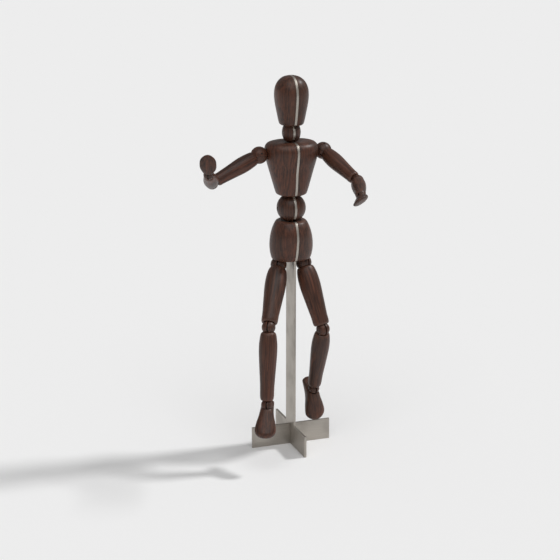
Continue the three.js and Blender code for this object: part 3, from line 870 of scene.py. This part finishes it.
# ---- Hands -------------------------------------------------------------------------------------
# Carved walnut paddles, thick and round at the wrist, thinning and curling a little to the
# fingertips, hollowed at the wrist to take its ball.
HAND_RIM, HAND_RIM_REACH = 2.6, 1.5
UPPER_SQUARENESS = 2.15
HAND_ROWS = [
    # height, half width, half thickness, middle of the thickness
    (3.2, 3.6, 3.3, 0.0), (5.5, 5.0, 3.3, 0.05), (9.0, 6.5, 3.1, 0.2), (13.0, 6.9, 2.6, 0.6),
    (17.0, 6.6, 2.0, 1.7), (20.0, 6.0, 1.5, 2.9), (22.4, 5.0, 1.1, 3.8),
]


def carved_form(rows, near_round, far_round, sections, around, flatness):
    """A carved solid along Z from (height, half width, half thickness, middle) rows, ends rounded."""
    table = np.array(smooth_rows([(z, z, w, t, m) for z, w, t, m in rows], 10))[:, 1:]
    low, high = table[0, 0], table[-1, 0]
    form = bmesh.new()
    rings = []
    for k in range(1, sections):
        z = low + (high - low) * (1 - math.cos(math.pi * k / sections)) / 2
        w, t, m = (np.interp(z, table[:, 0], table[:, column]) for column in (1, 2, 3))
        shrink_w, shrink_t = 1.0, 1.0
        for gap, (reach_w, reach_t) in ((z - low, near_round), (high - z, far_round)):
            shrink_w *= math.sqrt(max(0.0, 1 - (1 - min(1.0, gap / reach_w)) ** 2))
            shrink_t *= math.sqrt(max(0.0, 1 - (1 - min(1.0, gap / reach_t)) ** 2))
        ring = []
        for i in range(around):
            angle = 2 * math.pi * i / around
            c, s = math.cos(angle), math.sin(angle)
            power = flatness if s < 0 else UPPER_SQUARENESS
            x = w * shrink_w * math.copysign(abs(c) ** (2 / power), c)
            y = m + t * shrink_t * math.copysign(abs(s) ** (2 / power), s)
            ring.append(form.verts.new((x * MM, y * MM, z * MM)))
        rings.append(ring)
    for first, second in zip(rings, rings[1:]):
        for i in range(around):
            j = (i + 1) % around
            form.faces.new((first[i], first[j], second[j], second[i]))
    for ring, z in ((rings[0], low), (rings[-1], high)):
        middle = np.interp(z, table[:, 0], table[:, 3])
        pole = form.verts.new((0.0, middle * MM, z * MM))
        for i in range(around):
            form.faces.new((ring[i], ring[(i + 1) % around], pole))
    bmesh.ops.recalc_face_normals(form, faces=form.faces)
    return form


for side, offset in (("left", (0.91, 0.13, 0.4)), ("right", (0.83, 0.27, 0.1))):
    form = carved_form(HAND_ROWS, (1.4, 1.4), (6.0, 1.4), 44, 48, 2.2)
    mesh = carve(form, [ball_form(JOINT_BALLS["wrist"][0] + SEAT_GAP, (0, 0, 0))], f"{side}_hand_carved")
    keep_grain(mesh, offset)
    rim_by_height(mesh, HAND_RIM, NO_EDGE, HAND_RIM_REACH)
    mesh.transform(seated(joint_place(side, "wrist"), pin_line(side, "wrist"), limb_line(side, "wrist")))
    finish_piece(mesh, f"{side}_hand_carved", WALNUT, f"{side}_hand", [f"{side}_hand"])

# ---- Feet --------------------------------------------------------------------------------------
# Carved walnut feet, pear-shaped from above with a flat sole, high at the instep and thin at the
# toes, hollowed above the heel to take the ankle ball.
FOOT_ROWS = [
    # height along the foot from the ankle, half width, half thickness, middle of the thickness
    (-10.6, 4.9, 1.7, -8.8), (-8.0, 5.2, 2.6, -8.3), (-4.0, 5.4, 3.9, -7.1), (0.0, 5.6, 5.2, -5.8),
    (4.4, 6.0, 6.1, -4.9), (9.0, 6.8, 5.7, -5.3), (14.0, 8.1, 5.1, -5.9), (19.0, 9.0, 4.5, -6.5),
    (23.0, 9.2, 4.0, -7.0), (28.6, 8.8, 3.2, -7.0),
]
for side, offset in (("left", (0.71, 0.33, 0.6)), ("right", (0.63, 0.47, 0.7))):
    form = carved_form(FOOT_ROWS, (3.2, 2.6), (8.0, 4.0), 52, 56, 3.4)
    mesh = carve(form, [ball_form(JOINT_BALLS["ankle"][0] + SEAT_GAP, (0, 0, 0))], f"{side}_foot_carved")
    keep_grain(mesh, offset)
    keep_rim(mesh, [0.0] * len(mesh.vertices))
    mesh.transform(seated(joint_place(side, "ankle"), pin_line(side, "ankle"), limb_line(side, "ankle")))
    finish_piece(mesh, f"{side}_foot_carved", WALNUT, f"{side}_foot", [f"{side}_foot"])

# ---- Where it stands ---------------------------------------------------------------------------
# A plain pale studio floor that runs out to the background, a strong far lamp high on the right and
# a broad soft one above the front.
FLOOR_SIZE = 8.0
floor_mesh = bpy.data.meshes.new("studio_floor")
floor_corners = [(x * FLOOR_SIZE, y * FLOOR_SIZE, 0) for x, y in ((-1, -1), (1, -1), (1, 1), (-1, 1))]
floor_mesh.from_pydata(floor_corners, [], [(0, 1, 2, 3)])
floor = bpy.data.objects.new("studio_floor", floor_mesh)
bpy.context.scene.collection.objects.link(floor)
floor_paint = bpy.data.materials.new("studio_floor")
floor_paint.use_nodes = True
floor_shader = floor_paint.node_tree.nodes["Principled BSDF"]
floor_shader.inputs["Base Color"].default_value = (0.92, 0.92, 0.92, 1)
floor_shader.inputs["Roughness"].default_value = 0.9
floor_shader.inputs["Specular IOR Level"].default_value = 0.0
floor_mesh.materials.append(floor_paint)

world = bpy.data.worlds.new("studio")
bpy.context.scene.world = world
world.use_nodes = True
world.node_tree.nodes["Background"].inputs["Color"].default_value = (0.84, 0.84, 0.84, 1)
world.node_tree.nodes["Background"].inputs["Strength"].default_value = 0.33


def studio_lamp(name, place, power, softness):
    """A far lamp that shines from place to the origin, softness being its width in degrees."""
    light = bpy.data.lights.new(name, "SUN")
    light.energy = power
    light.angle = math.radians(softness)
    lamp = bpy.data.objects.new(name, light)
    bpy.context.scene.collection.objects.link(lamp)
    lamp.location = place
    lamp.rotation_mode = "QUATERNION"
    lamp.rotation_quaternion = (-Vector(place)).to_track_quat("-Z", "Y")


studio_lamp("right_lamp", (1.6, -0.05, 1.8), 1.55, 8.0)
studio_lamp("top_lamp", (-0.25, -0.75, 1.35), 1.00, 55.0)

camera_data = bpy.data.cameras.new("studio_camera")
camera_data.sensor_width = 36.0
camera_data.lens = 107.58
camera_data.clip_end = 50.0
camera = bpy.data.objects.new("studio_camera", camera_data)
bpy.context.scene.collection.objects.link(camera)
turn, rise, far = math.radians(19.71), math.radians(16.24), 1.45586
look = Vector((math.sin(turn) * math.cos(rise), math.cos(turn) * math.cos(rise), -math.sin(rise)))
aim = Vector((-0.00904, 0.00324, 0.15153))
camera.location = aim - look * far
camera.rotation_mode = "QUATERNION"
camera.rotation_quaternion = look.to_track_quat("-Z", "Y")
bpy.context.scene.camera = camera
bpy.context.scene.view_settings.view_transform = "Standard"
